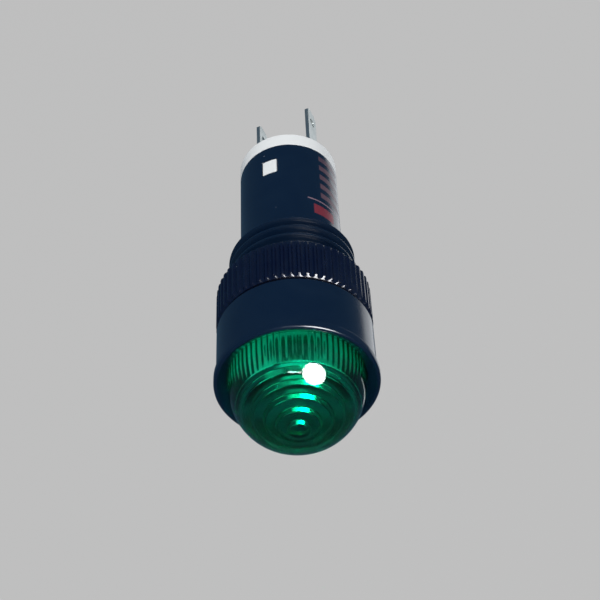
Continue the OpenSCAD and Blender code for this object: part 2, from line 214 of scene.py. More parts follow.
def buildMouldGrain():
    # moulded plastic: a fine even grain over slow flow marks, as a height and as a shade from 0 to 1
    group, given, result = newGroup(
        "mouldGrain", {"Vector": None, "Grain per m": 9000.0, "Flow per m": 160.0, "Flow Share": 0.4},
        ("Height", "Shade"))
    fine = addNode(group, "ShaderNodeTexNoise", {
        "Vector": given.outputs["Vector"], "Scale": given.outputs["Grain per m"], "Detail": 3.0,
        "Roughness": 0.6})
    flow = addNode(group, "ShaderNodeTexNoise", {
        "Vector": given.outputs["Vector"], "Scale": given.outputs["Flow per m"], "Detail": 2.0,
        "Distortion": 0.8})
    share = given.outputs["Flow Share"]
    slow = math2(group, "MULTIPLY", flow.outputs[0], share)
    quick = math2(group, "MULTIPLY", fine.outputs[0], math2(group, "SUBTRACT", 1.0, share))
    group.links.new(math2(group, "ADD", slow, quick), result.inputs["Height"])
    group.links.new(math2(group, "SUBTRACT", math2(group, "MULTIPLY", flow.outputs[0], 2.0), 0.5, True),
                    result.inputs["Shade"])
    return group


def buildDustSpecks():
    # a few small pale specks, each a spot round a Voronoi point that a random value lets through
    group, given, result = newGroup(
        "dustSpecks", {"Vector": None, "Specks per m": 900.0, "Spot": 0.16, "Share": 0.12}, ("Mask",))
    cells = addNode(group, "ShaderNodeTexVoronoi", {
        "Vector": given.outputs["Vector"], "Scale": given.outputs["Specks per m"]})
    size = math2(group, "SUBTRACT", given.outputs["Spot"], cells.outputs["Distance"])
    spot = math2(group, "DIVIDE", size, math2(group, "MULTIPLY", given.outputs["Spot"], 0.5), True)
    chance = addNode(group, "ShaderNodeSeparateColor", {0: cells.outputs["Color"]}).outputs[0]
    chosen = math2(group, "LESS_THAN", chance, given.outputs["Share"])
    group.links.new(math2(group, "MULTIPLY", spot, chosen), result.inputs["Mask"])
    return group


def buildDrawLines():
    # rolled and plated metal: long fine lines along Y as a height, and slow blotches as a shade
    group, given, result = newGroup(
        "drawLines", {"Vector": None, "Lines per m": 12000.0, "Stretch": 0.03}, ("Height", "Shade"))
    scale = addNode(group, "ShaderNodeCombineXYZ", {0: 1.0, 1: given.outputs["Stretch"], 2: 1.0})
    drawn = addNode(group, "ShaderNodeVectorMath", {0: given.outputs["Vector"], 1: scale.outputs[0]},
                    operation="MULTIPLY")
    lines = addNode(group, "ShaderNodeTexNoise", {
        "Vector": drawn.outputs[0], "Scale": given.outputs["Lines per m"], "Detail": 2.0})
    blotch = addNode(group, "ShaderNodeTexNoise", {
        "Vector": given.outputs["Vector"], "Scale": 500.0, "Detail": 3.0})
    group.links.new(lines.outputs[0], result.inputs["Height"])
    group.links.new(blotch.outputs[0], result.inputs["Shade"])
    return group


lampPlace = buildLampPlace()
fieldMask = buildFieldMask()
mouldGrain = buildMouldGrain()
dustSpecks = buildDustSpecks()
drawLines = buildDrawLines()


def startMaterial(name):
    # a material with its Principled shader, and the tree and Object coordinates to build on
    material = bpy.data.materials.new(name)
    material.use_nodes = True
    tree = material.node_tree
    shader = tree.nodes["Principled BSDF"]
    place = addNode(tree, "ShaderNodeTexCoord").outputs["Object"]
    return material, tree, shader, place


def placeGroup(tree, group, inputs):
    # one use of a shader group, with its own values
    return addNode(tree, "ShaderNodeGroup", inputs, node_tree=group)


def bumpFrom(tree, shader, height, distance, strength):
    # a height from 0 to 1 that stands the given distance proud in the light
    bump = addNode(tree, "ShaderNodeBump", {"Height": height, "Distance": distance * mm,
                                            "Strength": strength})
    tree.links.new(bump.outputs[0], shader.inputs["Normal"])


def roughFrom(tree, shader, shade, swing, least):
    # roughness = least + swing times the shade
    rough = math2(tree, "ADD", math2(tree, "MULTIPLY", shade, swing), least)
    tree.links.new(rough, shader.inputs["Roughness"])
    return rough


print("shader groups ready")

housingFinish = {
    "colour": (0.0016, 0.0090, 0.0290, 1.0), "paleColour": (0.0026, 0.0125, 0.0350, 1.0),
    "roughness": 0.15, "roughSwing": 0.08, "grainDepth": 0.004, "grainStrength": 0.6,
    "dustShare": 0.02, "specksPerM": 1400.0, "dustAmount": 0.5, "dustColour": (0.3, 0.33, 0.36, 1.0),
}
barrelPrint = {
    # a field's middle and half width round the barrel in degrees, its middle and half length along it
    "line": (78.0, 35.0, -18.5, 0.17), "block": (65.5, 15.5, -16.75, 0.95),
    "markAngle": 79.5, "markHalfAngle": 19.0, "markHalf": 0.55,
    "markStations": (-20.0, -21.9, -23.8, -25.7, -27.6),
    "angleSoft": 1.2, "stationSoft": 0.12, "insideRadius": 6.6, "inkRoughness": 0.12, "leastInk": 0.35,
    "lineColour": (0.24, 0.15, 0.19, 1.0), "blockColour": (0.20, 0.020, 0.035, 1.0),
    "markColour": (0.11, 0.055, 0.075, 1.0),
}


def paintHousing(finish, ink):
    # dark moulded plastic with a print on the barrel's side: a line, a solid block and a row of marks
    material, tree, shader, place = startMaterial("housingPlastic")
    lamp = placeGroup(tree, lampPlace, {"Vector": place})
    grain = placeGroup(tree, mouldGrain, {"Vector": place})
    shade = grain.outputs["Shade"]
    dust = placeGroup(tree, dustSpecks, {"Vector": place, "Share": finish["dustShare"],
                                         "Specks per m": finish["specksPerM"]})
    onBarrel = math2(tree, "LESS_THAN", lamp.outputs["Radius"], ink["insideRadius"])

    def field(angleMiddle, angleHalf, stationMiddle, stationHalf):
        # 1 where the angle and the station both lie within their half widths of the middle
        return placeGroup(tree, fieldMask, {
            "Across": lamp.outputs["Angle"], "Along": lamp.outputs["Station"],
            "Across Middle": angleMiddle, "Across Half": angleHalf,
            "Along Middle": stationMiddle, "Along Half": stationHalf,
            "Across Soft": ink["angleSoft"], "Along Soft": ink["stationSoft"]}).outputs[0]

    colour = mixColour(tree, shade, finish["colour"], finish["paleColour"])
    line = math2(tree, "MULTIPLY", field(*ink["line"]), onBarrel)
    colour = mixColour(tree, line, colour, ink["lineColour"])
    block = math2(tree, "MULTIPLY", field(*ink["block"]), onBarrel)
    colour = mixColour(tree, block, colour, ink["blockColour"])
    marks = None
    for middle in ink["markStations"]:
        bar = field(ink["markAngle"], ink["markHalfAngle"], middle, ink["markHalf"])
        marks = bar if marks is None else math2(tree, "MAXIMUM", marks, bar)
    marks = math2(tree, "MULTIPLY", marks, onBarrel)
    worn = math2(tree, "MULTIPLY", marks, math2(tree, "ADD", shade, ink["leastInk"], True))
    colour = mixColour(tree, worn, colour, ink["markColour"])
    speck = math2(tree, "MULTIPLY", dust.outputs[0], finish["dustAmount"])
    colour = mixColour(tree, speck, colour, finish["dustColour"])
    tree.links.new(colour, shader.inputs["Base Color"])
    printed = math2(tree, "MAXIMUM", math2(tree, "MAXIMUM", line, block), marks)
    rough = roughFrom(tree, shader, shade, finish["roughSwing"], finish["roughness"])
    inked = math2(tree, "ADD", rough, math2(tree, "MULTIPLY", printed, ink["inkRoughness"]))
    tree.links.new(inked, shader.inputs["Roughness"])
    bumpFrom(tree, shader, grain.outputs["Height"], finish["grainDepth"], finish["grainStrength"])
    return material


nutFinish = {
    "colour": (0.0007, 0.0027, 0.0200, 1.0), "paleColour": (0.0012, 0.0066, 0.0270, 1.0),
    "roughness": 0.20, "roughSwing": 0.12, "grainPerM": 5200.0, "flowPerM": 260.0,
    "grainDepth": 0.012, "grainStrength": 0.8,
    "dustShare": 0.05, "specksPerM": 1300.0, "spot": 0.13, "dustAmount": 0.6,
    "dustColour": (0.32, 0.34, 0.38, 1.0),
}


def paintNut(finish):
    # the same plastic with a livelier moulded skin and a little more dust
    material, tree, shader, place = startMaterial("nutPlastic")
    grain = placeGroup(tree, mouldGrain, {"Vector": place, "Grain per m": finish["grainPerM"],
                                          "Flow per m": finish["flowPerM"]})
    dust = placeGroup(tree, dustSpecks, {"Vector": place, "Share": finish["dustShare"],
                                         "Specks per m": finish["specksPerM"], "Spot": finish["spot"]})
    colour = mixColour(tree, grain.outputs["Shade"], finish["colour"], finish["paleColour"])
    speck = math2(tree, "MULTIPLY", dust.outputs[0], finish["dustAmount"])
    tree.links.new(mixColour(tree, speck, colour, finish["dustColour"]), shader.inputs["Base Color"])
    roughFrom(tree, shader, grain.outputs["Shade"], finish["roughSwing"], finish["roughness"])
    bumpFrom(tree, shader, grain.outputs["Height"], finish["grainDepth"], finish["grainStrength"])
    return material


lensFinish = {
    "absorb": (0.0, 0.96, 0.915, 1.0), "density": 3600.0, "roughness": 0.02, "innerRoughness": 0.14,
    "ior": 1.49, "shadow": (0.03, 0.62, 0.48, 1.0), "grainPerM": 1500.0, "flowPerM": 220.0,
    "flowShare": 0.8, "grainDepth": 0.01, "grainStrength": 0.5,
}


def paintLens(finish):
    # Clear green acrylic. Its colour comes from its depth, its inner faces are finely frosted, and lamps
    # shine through it, tinted, on to what is behind it.
    material, tree, shader, place = startMaterial("lensGreen")
    shader.inputs["Base Color"].default_value = (1.0, 1.0, 1.0, 1.0)
    shader.inputs["Transmission Weight"].default_value = 1.0
    shader.inputs["IOR"].default_value = finish["ior"]
    grain = placeGroup(tree, mouldGrain, {"Vector": place, "Grain per m": finish["grainPerM"],
                                          "Flow per m": finish["flowPerM"],
                                          "Flow Share": finish["flowShare"]})
    inner = addNode(tree, "ShaderNodeAttribute", attribute_name="inner")
    frost = math2(tree, "MULTIPLY", inner.outputs["Fac"], finish["innerRoughness"])
    roughFrom(tree, shader, grain.outputs["Shade"], finish["roughness"], frost)
    bumpFrom(tree, shader, grain.outputs["Height"], finish["grainDepth"], finish["grainStrength"])
    output = tree.nodes["Material Output"]
    clear = addNode(tree, "ShaderNodeBsdfTransparent", {"Color": finish["shadow"]})
    path = addNode(tree, "ShaderNodeLightPath")
    mix = addNode(tree, "ShaderNodeMixShader", {0: path.outputs["Is Shadow Ray"], 1: shader.outputs[0],
                                                2: clear.outputs[0]})
    tree.links.new(mix.outputs[0], output.inputs["Surface"])
    depth = addNode(tree, "ShaderNodeVolumeAbsorption", {"Color": finish["absorb"],
                                                         "Density": finish["density"]})
    tree.links.new(depth.outputs[0], output.inputs["Volume"])
    return material


ledFinish = {"colour": (0.86, 0.97, 0.90, 1.0), "ior": 1.52, "grainPerM": 2000.0, "roughness": 0.05,
             "grainDepth": 0.01, "grainStrength": 0.4}


def paintClear(finish):
    # the LED's clear epoxy, whose roughness follows the flow marks
    material, tree, shader, place = startMaterial("ledClear")
    shader.inputs["Base Color"].default_value = finish["colour"]
    shader.inputs["Transmission Weight"].default_value = 1.0
    shader.inputs["IOR"].default_value = finish["ior"]
    grain = placeGroup(tree, mouldGrain, {"Vector": place, "Grain per m": finish["grainPerM"]})
    roughFrom(tree, shader, grain.outputs["Shade"], finish["roughness"], 0.0)
    bumpFrom(tree, shader, grain.outputs["Height"], finish["grainDepth"], finish["grainStrength"])
    return material


plainFinishes = {
    # name: colour, second colour, roughness, grain per m, grain depth, dust share
    "basePlastic": ((0.87, 0.88, 0.88, 1), (0.82, 0.83, 0.83, 1), 0.34, 6000.0, 0.006, 0.006),
    "whitePlastic": ((0.86, 0.86, 0.85, 1), (0.80, 0.80, 0.79, 1), 0.34, 6000.0, 0.006, 0.01),
    "gasketRubber": ((0.010, 0.011, 0.014, 1), (0.018, 0.018, 0.021, 1), 0.62, 7000.0, 0.012, 0.03),
    "sealRubber": ((0.015, 0.015, 0.016, 1), (0.024, 0.024, 0.025, 1), 0.65, 7000.0, 0.012, 0.02),
    "boardGreen": ((0.016, 0.11, 0.035, 1), (0.030, 0.17, 0.060, 1), 0.30, 1800.0, 0.010, 0.02),
    "chipBlack": ((0.014, 0.014, 0.015, 1), (0.022, 0.022, 0.023, 1), 0.50, 9000.0, 0.010, 0.02),
    "capacitorTan": ((0.40, 0.26, 0.13, 1), (0.46, 0.31, 0.17, 1), 0.42, 8000.0, 0.006, 0.02),
}
plainDust = {"specksPerM": 1200.0, "amount": 0.35, "colour": (0.31, 0.30, 0.28, 1.0)}
plainSkin = {"roughSwing": 0.1, "grainStrength": 0.7}


def paintPlain(name, colour, second, roughness, grainPerM, depth, dustShare):
    # two close colours mixed by the flow marks, with a fine grain and a few specks of dust
    material, tree, shader, place = startMaterial(name)
    grain = placeGroup(tree, mouldGrain, {"Vector": place, "Grain per m": grainPerM})
    dust = placeGroup(tree, dustSpecks, {"Vector": place, "Share": dustShare,
                                         "Specks per m": plainDust["specksPerM"]})
    mixed = mixColour(tree, grain.outputs["Shade"], colour, second)
    speck = math2(tree, "MULTIPLY", dust.outputs[0], plainDust["amount"])
    tree.links.new(mixColour(tree, speck, mixed, plainDust["colour"]), shader.inputs["Base Color"])
    roughFrom(tree, shader, grain.outputs["Shade"], plainSkin["roughSwing"], roughness)
    bumpFrom(tree, shader, grain.outputs["Height"], depth, plainSkin["grainStrength"])
    return material


metalFinishes = {
    # name: colour, dull colour, roughness, stretch of the draw lines
    "tinnedMetal": ((0.66, 0.69, 0.67, 1), (0.46, 0.50, 0.48, 1), 0.30, 0.03),
    "solder": ((0.62, 0.63, 0.64, 1), (0.48, 0.49, 0.50, 1), 0.24, 1.0),
}
metalSkin = {"roughSwing": 0.18, "lineDepth": 0.004, "lineStrength": 0.5}


def paintMetal(name, colour, dull, roughness, stretch):
    # bright metal mixed with a dull tone by the blotches, with draw lines in its surface
    material, tree, shader, place = startMaterial(name)
    lines = placeGroup(tree, drawLines, {"Vector": place, "Stretch": stretch})
    tree.links.new(mixColour(tree, lines.outputs["Shade"], colour, dull), shader.inputs["Base Color"])
    shader.inputs["Metallic"].default_value = 1.0
    roughFrom(tree, shader, lines.outputs["Shade"], metalSkin["roughSwing"], roughness)
    bumpFrom(tree, shader, lines.outputs["Height"], metalSkin["lineDepth"], metalSkin["lineStrength"])
    return material


resistorFinish = {
    "colour": (0.16, 0.38, 0.55, 1), "paleColour": (0.20, 0.44, 0.60, 1), "roughness": 0.25,
    "roughSwing": 0.1, "grainDepth": 0.01, "grainStrength": 0.6, "ringHalf": 0.28, "ringSoft": 0.06,
    "anyRadius": 50.0,
    # each ring's place from the resistor's middle, and its colour
    "rings": ((1.9, (0.25, 0.06, 0.02, 1)), (0.9, (0.02, 0.02, 0.02, 1)),
              (-0.1, (0.55, 0.07, 0.02, 1)), (-1.9, (0.50, 0.32, 0.05, 1))),
}


def paintResistor(finish):
    # lacquered body with colour rings, each a field along the station that holds at any radius
    material, tree, shader, place = startMaterial("resistorBlue")
    lamp = placeGroup(tree, lampPlace, {"Vector": place})
    front, rear, _ = nodeStations("resistor_a")
    middle = (front + rear) / 2
    grain = placeGroup(tree, mouldGrain, {"Vector": place})
    colour = mixColour(tree, grain.outputs["Shade"], finish["colour"], finish["paleColour"])
    for offset, ringColour in finish["rings"]:
        ring = placeGroup(tree, fieldMask, {
            "Across": lamp.outputs["Radius"], "Along": lamp.outputs["Station"],
            "Across Half": finish["anyRadius"], "Along Middle": middle + offset,
            "Along Half": finish["ringHalf"], "Along Soft": finish["ringSoft"]})
        colour = mixColour(tree, ring.outputs[0], colour, ringColour)
    tree.links.new(colour, shader.inputs["Base Color"])
    roughFrom(tree, shader, grain.outputs["Shade"], finish["roughSwing"], finish["roughness"])
    bumpFrom(tree, shader, grain.outputs["Height"], finish["grainDepth"], finish["grainStrength"])
    return material


finishes = {name: paintPlain(name, *values) for name, values in plainFinishes.items()}
finishes.update({name: paintMetal(name, *values) for name, values in metalFinishes.items()})
finishes["housingPlastic"] = paintHousing(housingFinish, barrelPrint)
finishes["nutPlastic"] = paintNut(nutFinish)
finishes["lensGreen"] = paintLens(lensFinish)
finishes["ledClear"] = paintClear(ledFinish)
finishes["resistorBlue"] = paintResistor(resistorFinish)
print("finishes ready:", len(finishes))

# the thread that sleeve and nut share: shares of the pitch are flat at the root and at the crest
thread = {"pitch": 1.5, "depth": 0.92, "rootShare": 0.16, "crestShare": 0.13, "ease": 0.55,
          "startTurn": 0.747, "rowsPerTurn": 18, "nutGap": 0.06}


def threadHeight(station, angle):
    # from 0 at the root to 1 at the crest: a triangle wave that climbs one pitch a turn, right-handed,
    # with its tips cut off and its corners eased
    turn = station / thread["pitch"] + angle / (2 * math.pi) + thread["startTurn"]
    wave = 1 - np.abs(2 * (turn % 1) - 1)
    slope = np.clip((wave - thread["rootShare"]) / (1 - thread["rootShare"] - thread["crestShare"]), 0, 1)
    return slope + thread["ease"] * (slope * slope * (3 - 2 * slope) - slope)


def helixStations(low, high, angle):
    # rows that climb with the thread, so that crests and roots run along them, held between two ends
    step = thread["pitch"] / thread["rowsPerTurn"]
    count = int(math.ceil((high - low + thread["pitch"]) / step)) + 1
    row = np.arange(count)[:, None] * step
    return np.clip(low + row - thread["pitch"] * (angle[None] - angle[0]) / (2 * math.pi), low, high)


housing = {
    "columns": 300, "bezelSide": 9.475, "lipHeight": 1.5, "lipRound": 0.3, "lipBackRound": 0.2,
    "lipFoot": 0.3, "lipFootRound": 0.25, "funnel": 1.4, "funnelRound": 0.08,
    "backChamfer": 0.25, "backRound": 0.08, "sideRound": 0.12,
    "pocket": 8.25, "pocketFloor": 5.0, "snapAt": 6.525, "snapProud": 0.15, "snapFlat": 0.3,
    "snapFoot": 0.6, "chamber": 7.0, "ledge": 1.5, "sleeveEnd": -13.3, "sleeve": 8.0,
    "barrel": 6.5, "bore": 5.5, "endRound": 0.12, "boreRound": 0.1, "boreStart": 0.6,
    "runOutSlope": 1.6, "runOutEase": 0.05, "patchColumns": 12, "patchRows": 24, "patchMargin": 1.0,
}
window = {"halfWidth": 1.075, "rear": -26.45, "front": -23.65, "corner": 0.28, "edge": 0.07,
          "edgeRows": 5, "wallRows": 3}


def windowWall(side, angles):
    # The barrel's wall round a latch window. One parameter goes round the window, the other runs from
    # the border of the patch over the rounded edge, down the cut and back out on the bore's side.
    half, rows = housing["patchColumns"], housing["patchRows"]
    barrel, bore = housing["barrel"], housing["bore"]
    edge, edgeRows, wallRows = window["edge"], window["edgeRows"], window["wallRows"]
    lowStation = window["rear"] - housing["patchMargin"]
    highStation = window["front"] + housing["patchMargin"]
    across = np.concatenate([np.arange(-half, half), np.full(rows, half), np.arange(half, -half, -1),
                             np.full(rows, -half), [-half]]) / half
    along = np.concatenate([np.full(2 * half, 0), np.arange(rows), np.full(2 * half, rows),
                            np.arange(rows, 0, -1), [0]]) / rows * 2 - 1
    middle = (window["rear"] + window["front"]) / 2
    halfWidth, halfLength = window["halfWidth"], (window["front"] - window["rear"]) / 2
    corner = window["corner"]
    coreX = np.clip(across * halfWidth, corner - halfWidth, halfWidth - corner)
    coreS = np.clip(along * halfLength, corner - halfLength, halfLength - corner)
    outX, outS = across * halfWidth - coreX, along * halfLength - coreS
    size = np.hypot(outX, outS)
    outX, outS = outX / size, outS / size
    turn = np.linspace(0, math.pi / 2, edgeRows)
    share = np.concatenate([np.linspace(0, 1, edgeRows), np.ones(edgeRows + wallRows),
                            np.linspace(1, 0, wallRows + 1)[1:]])
    offset = np.concatenate([np.ones(edgeRows), 1 - np.sin(turn), np.zeros(2 * wallRows)]) * edge
    drop = np.concatenate([np.zeros(edgeRows), 1 - np.cos(turn)]) * edge
    radius = np.concatenate([barrel - drop, np.linspace(barrel - edge, bore, wallRows + 1)[1:],
                             np.full(wallRows, bore)])
    borderAngle = across * half * (angles[1] - angles[0])
    borderS = middle + along * (highStation - lowStation) / 2
    share, offset, radius = share[:, None], offset[:, None], radius[:, None]
    x = (1 - share) * radius * np.sin(borderAngle) + share * (coreX + outX * (corner + offset))
    station = (1 - share) * borderS + share * (middle + coreS + outS * (corner + offset))
    z = np.sqrt(radius * radius - x * x)
    return np.stack([side * x, -station, side * z], axis=-1) * mm


def buildHousing():
    # The wall's section is carried round the axis. On the sleeve the radius follows the thread, and on
    # the barrel two patches are left open for the latch windows.
    columns = housing["columns"]
    angles = np.linspace(-0.5, 1.5, columns + 1) * math.pi
    front, rear, lip = nodeStations("housing")
    side, lipLow = housing["bezelSide"], front - housing["lipHeight"]
    low, high = window["rear"] - housing["patchMargin"], window["front"] + housing["patchMargin"]
    patch = np.linspace(low, high, housing["patchRows"] + 1)
    ends, barrel, bore = housing["endRound"], housing["barrel"], housing["bore"]
    sleeveEnd, sleeve = housing["sleeveEnd"], housing["sleeve"]
    root, chamfer = sleeve - thread["depth"], housing["backChamfer"]
    pocket, floor, chamber = housing["pocket"], housing["pocketFloor"], housing["chamber"]
    snap, snapFoot, snapFlat = housing["snapAt"], housing["snapFoot"], housing["snapFlat"]
    snapRadius, ledge, inRound = pocket + housing["snapProud"], housing["ledge"], housing["boreRound"]

    def carried(profile):
        # each point of the profile, repeated at every angle
        return np.repeat(profile[:, 0:1], columns + 1, 1), np.repeat(profile[:, 1:2], columns + 1, 1)

    rearEnd = roundedProfile([(rear + housing["boreStart"], bore, 0), (rear, bore, inRound),
                              (rear, barrel, ends), (low, barrel, 0)])[:-1]
    step = roundedProfile([(high, barrel, 0), (sleeveEnd, barrel, ends), (sleeveEnd, root, 0)])[1:]
    threadRows = helixStations(sleeveEnd, 0.0, angles)
    threadRadius = root + thread["depth"] * threadHeight(threadRows, angles[None])
    runOut = root + housing["runOutSlope"] * (threadRows - sleeveEnd)
    threadRadius = softMin(threadRadius, runOut, housing["runOutEase"])
    bezel = roundedProfile([
        (0, sleeve, 0), (0, side - chamfer, housing["backRound"]), (chamfer, side, housing["sideRound"]),
        (lipLow - housing["lipFoot"], side, housing["lipFootRound"]),
        (lipLow, lip, housing["lipBackRound"]), (front, lip, housing["lipRound"]),
        (front - housing["funnel"], pocket, housing["funnelRound"]), (snap + snapFoot, pocket, 0),
        (snap + snapFlat, snapRadius, 0), (snap - snapFlat, snapRadius, 0), (snap - snapFoot, pocket, 0),
        (floor, pocket, 0), (floor, chamber, inRound), (ledge, chamber, 0), (ledge, bore, inRound),
        (high, bore, 0)])[:-1]
    stations, radii, openRows, total = [], [], [], 0
    for part, isPatch in ((carried(rearEnd), False),
                          (carried(np.stack([patch, np.full(patch.size, barrel)], 1)), True),
                          (carried(step), False), ((threadRows, threadRadius), False),
                          (carried(bezel), False),
                          (carried(np.stack([patch[::-1], np.full(patch.size, bore)], 1)), True),
                          (carried(rearEnd[:1]), False)):
        if isPatch:
            openRows.append((total, total + patch.size - 1))
        stations.append(part[0])
        radii.append(part[1])
        total += part[0].shape[0]
    grid = onLamp(np.concatenate(stations), np.concatenate(radii), angles[None])
    keep = np.ones((total - 1, columns), bool)
    for middle in (columns // 4, 3 * columns // 4):
        for first, last in openRows:
            keep[first:last, middle - housing["patchColumns"]:middle + housing["patchColumns"]] = False
    walls = [(windowWall(turned, angles), None) for turned in (1, -1)]
    return makePiece("housingShell", [(grid, keep)] + walls, finishes["housingPlastic"], "lamp",
                     "housing")


buildHousing()

lens = {
    "columns": 360, "foot": 8.15, "footRound": 0.1, "footStep": 0.06, "stepDepth": 1.35,
    "stepRound": 0.05, "stepFootRound": 0.01, "domeStart": 0.4, "beadProud": 0.14, "beadFlat": 0.15,
    "beadFoot": 0.3, "beadRound": 0.05, "crown": 10.0, "shoulder": 7.4, "draft": math.radians(2.2),
    "arcRows": 26, "crownWall": 1.45, "rings": 5, "ringPitch": 1.12, "ringDrop": 0.8,
    "ringRound": 0.10, "ringSteps": 5, "bore": 6.4, "boreRound": 0.2, "skirtRows": 8, "flutes": 60,
    "fluteDepth": 0.10, "fluteFade": 0.8, "sharpAngle": 45,
}


def buildLens():
    # Outside, a skirt with draft, a shoulder arc and a crown arc, tangent to each other. Inside, rings
    # that step down from the middle, then a skirt whose radius waves with the flutes.
    front = nodeStations("housing")[0]
    crownTop, footEnd, _ = nodeStations("lens")
    stepAt = front - lens["stepDepth"]
    snap, foot, bore = housing["snapAt"], lens["foot"], lens["bore"]
    bead, beadFoot, beadFlat = foot + lens["beadProud"], lens["beadFoot"], lens["beadFlat"]
    crown, shoulder, draft, dome = lens["crown"], lens["shoulder"], lens["draft"], lens["domeStart"]
    domeFoot, crownCentre = foot - lens["footStep"], crownTop - crown
    reach = crown - shoulder
    offset = domeFoot * math.cos(draft) + (stepAt - crownCentre) * math.sin(draft) - shoulder
    along = math.sqrt(reach * reach - offset * offset)
    shoulderR = offset * math.cos(draft) - along * math.sin(draft)
    shoulderS = offset * math.sin(draft) + along * math.cos(draft)
    meet = math.atan2(shoulderS, shoulderR)
    base = roundedProfile([
        (footEnd, bore, 0), (footEnd, foot, lens["footRound"]), (snap - beadFoot, foot, 0),
        (snap - beadFlat, bead, lens["beadRound"]), (snap + beadFlat, bead, lens["beadRound"]),
        (snap + beadFoot, foot, 0), (stepAt, foot, lens["stepRound"]),
        (stepAt, domeFoot, lens["stepFootRound"]),
        (stepAt + dome, domeFoot - dome * math.tan(draft), 0)])[:-1]
    outer = np.concatenate([
        base, arcPoints((crownCentre + shoulderS, shoulderR), shoulder, draft, meet, lens["arcRows"]),
        arcPoints((crownCentre, 0), crown, meet, math.pi / 2, lens["arcRows"])[1:]])
    insideTop = crownTop - lens["crownWall"]
    corners = [(insideTop, 0, 0)]
    for ring in range(lens["rings"]):
        radius = (ring + 1) * lens["ringPitch"]
        corners += [(insideTop - ring * lens["ringDrop"], radius, lens["ringRound"]),
                    (insideTop - (ring + 1) * lens["ringDrop"], radius, lens["ringRound"])]
    fluteTop = insideTop - lens["rings"] * lens["ringDrop"]
    skirtTop = fluteTop - lens["boreRound"]
    corners += [(fluteTop, bore, lens["boreRound"]), (footEnd, bore, 0)]
    inner = roundedProfile(corners, lens["ringSteps"])
    skirt = np.stack([np.linspace(skirtTop, footEnd, lens["skirtRows"]),
                      np.full(lens["skirtRows"], bore)], 1)
    section = np.concatenate([outer, inner[:-1], skirt])
    angles = np.linspace(0, 2 * math.pi, lens["columns"] + 1)
    isSkirt = np.arange(len(section)) >= len(outer) + len(inner) - 1
    fade = np.clip((skirtTop - section[:, 0]) / lens["fluteFade"], 0, 1) * isSkirt
    fade[0] = 1.0  # the first row is the foot's inner edge, which the last row closes on
    wave = 0.5 - 0.5 * np.cos(angles * lens["flutes"])
    radius = section[:, 1:2] + lens["fluteDepth"] * fade[:, None] * wave[None]
    inside = np.repeat((np.arange(len(section)) > len(outer))[:, None].astype(float), angles.size, 1)
    return makePiece("lensDome", [(onLamp(section[:, 0:1], radius, angles[None]), None)],
                     finishes["lensGreen"], "lamp", "lens", lens["sharpAngle"], inside)


buildLens()

nut = {"ribs": 60, "columnsPerRib": 8, "grooveDepth": 0.32, "grooveRadius": 0.36, "chamfer": 0.35,
       "ribEase": 0.07, "chamferEase": 0.08, "chamferRows": 5, "sideRows": 6, "sideMargin": 0.2,
       "leadIn": 0.45, "leadInEase": 0.05, "clearOfRibs": 0.2, "clearOfSkin": 1.0}


def ribRadius(angle, outer):
    # the ribbed outline: a round groove at each division of the circle, its edges eased
    division = 2 * math.pi / nut["ribs"]
    apart = (angle + division / 2) % division - division / 2
    centre = outer - nut["grooveDepth"] + nut["grooveRadius"]
    reach = nut["grooveRadius"] ** 2 - (centre * np.sin(apart)) ** 2
    groove = centre * np.cos(apart) - np.sqrt(np.maximum(reach, 0))
    return softMin(np.where(reach > 0, groove, outer + nut["clearOfRibs"]), outer, nut["ribEase"])


def buildNut():
    # the ribbed skin and the nut's own thread, both carried round the axis, closed over the two ends
    front, rear, outer = nodeStations("locknut")
    angles = np.linspace(0, 2 * math.pi, nut["ribs"] * nut["columnsPerRib"] + 1)
    ribs = ribRadius(angles, outer)
    chamfer, leadIn, rows = nut["chamfer"], nut["leadIn"], nut["sideRows"]
    inside = housing["sleeve"] + thread["nutGap"]
    ends = np.linspace(0, chamfer, nut["chamferRows"])
    between = np.linspace(front - chamfer - nut["sideMargin"], rear + chamfer + nut["sideMargin"], rows)
    station = np.concatenate([[front], front - ends, between, rear + ends[::-1], [rear]])
    limit = np.concatenate([[0.0], outer - chamfer + ends, np.full(rows, outer + nut["clearOfSkin"]),
                            outer - chamfer + ends[::-1], [0.0]])
    skin = softMin(ribs[None], limit[:, None], nut["chamferEase"])
    skin[0] = skin[-1] = inside + leadIn
    boreRows = helixStations(rear, front, angles)
    root = housing["sleeve"] - thread["depth"] + thread["nutGap"]
    bore = root + thread["depth"] * threadHeight(boreRows, angles[None])
    cone = inside + leadIn - np.minimum(front - boreRows, boreRows - rear)
    bore = -softMin(-bore, -cone, nut["leadInEase"])
    bore = np.where((boreRows == rear) | (boreRows == front), inside + leadIn, bore)
    grids = [(onLamp(station[:, None], skin, angles[None]), None),
             (onLamp(boreRows, bore, angles[None]), None)]
    return makePiece("ribbedNut", grids, finishes["nutPlastic"], "nut", "locknut")


buildNut()

turned = {"columns": 180, "gasketBore": 8.05, "sealBore": 6.5, "ringEdge": 0.12}


def turnedPiece(name, profile, material, node):
    # a closed profile of stations and radii turned once round the axis
    angles = np.linspace(0, 2 * math.pi, turned["columns"] + 1)
    grid = onLamp(profile[:, 0:1], profile[:, 1:2], angles[None])
    return makePiece(name, [(grid, None)], material, "lamp", node)


def buildRing(name, node, innerRadius, edge, material):
    # a flat ring with rounded edges
    front, rear, outer = nodeStations(node)
    middle = (front + rear) / 2
    profile = roundedProfile([(middle, innerRadius, 0), (rear, innerRadius, edge), (rear, outer, edge),
                              (front, outer, edge), (front, innerRadius, edge), (middle, innerRadius, 0)])
    return turnedPiece(name, profile, material, node)


buildRing("gasketRing", "panel_gasket", turned["gasketBore"], turned["ringEdge"],
          finishes["gasketRubber"])
buildRing("sealRing", "lens_seal", turned["sealBore"], turned["ringEdge"], finishes["sealRubber"])

